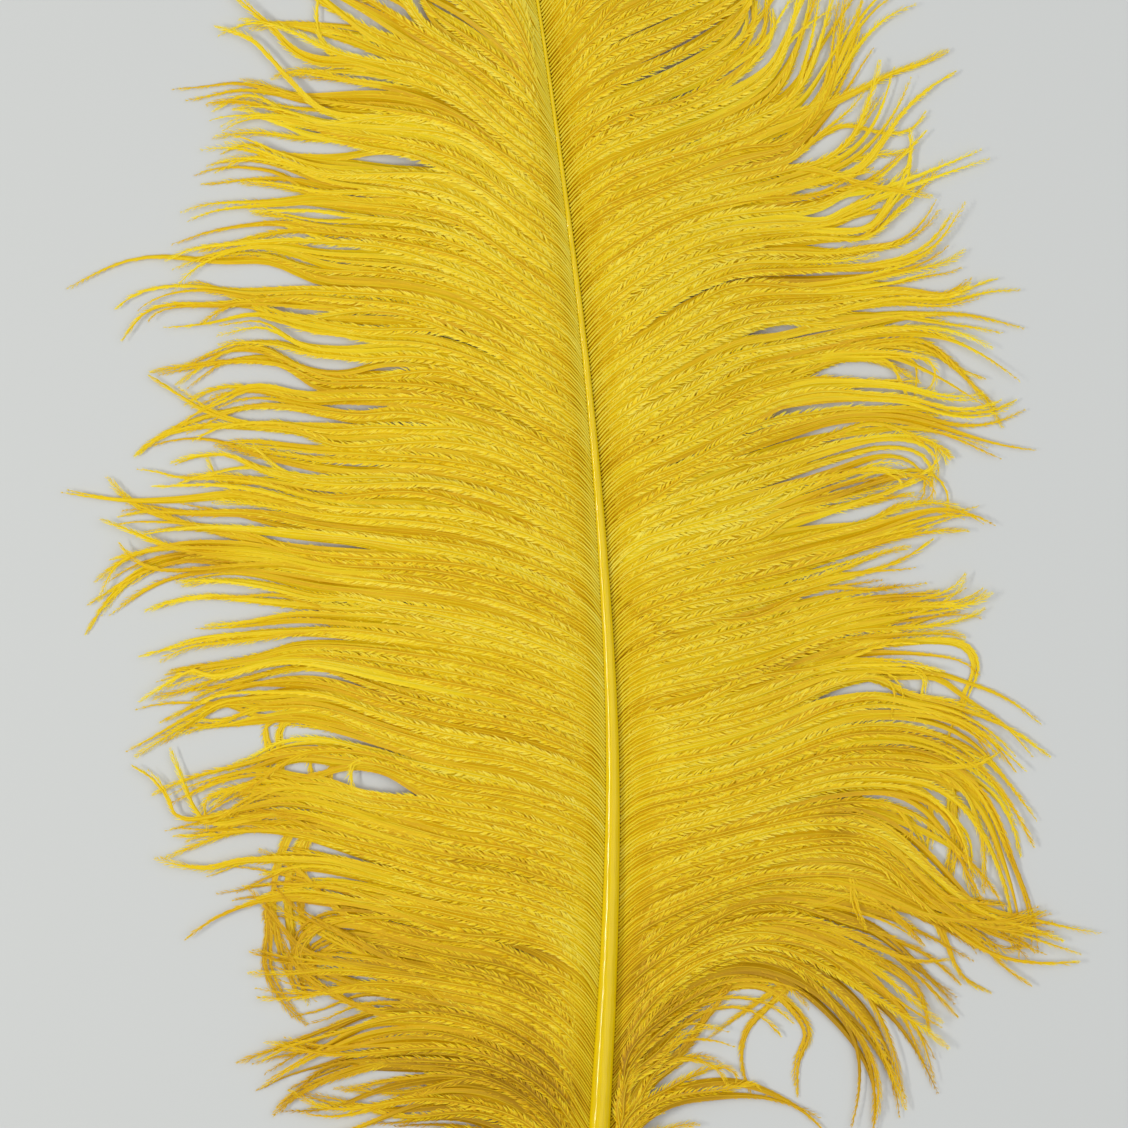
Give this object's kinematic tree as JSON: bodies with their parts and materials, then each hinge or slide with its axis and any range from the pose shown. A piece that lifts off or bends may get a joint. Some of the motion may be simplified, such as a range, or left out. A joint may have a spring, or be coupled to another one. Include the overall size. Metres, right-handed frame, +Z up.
{
  "type": "ostrich feather",
  "caption": "dyed yellow ostrich plume lying flat, with a long tapering shaft, a bare quill end and broad loose vanes that part into fine curling locks",
  "frame": {"origin": "middle of the plume's box, on the surface that it lies on", "axes": "+Y runs along the shaft from the quill to the plume's tip, +Z points up out of the surface, +X to the right seen from above"},
  "size_m": [0.2558, 0.446, 0.008],
  "materials": {
    "dyed_barbs": "soft dyed keratin barbs with fine barbules, matt with a silky sheen",
    "dyed_shaft": "smooth dyed keratin shaft, glossy"
  },
  "bodies": {
    "root": {"feather": "dyed_barbs"}
  },
  "joints": []
}
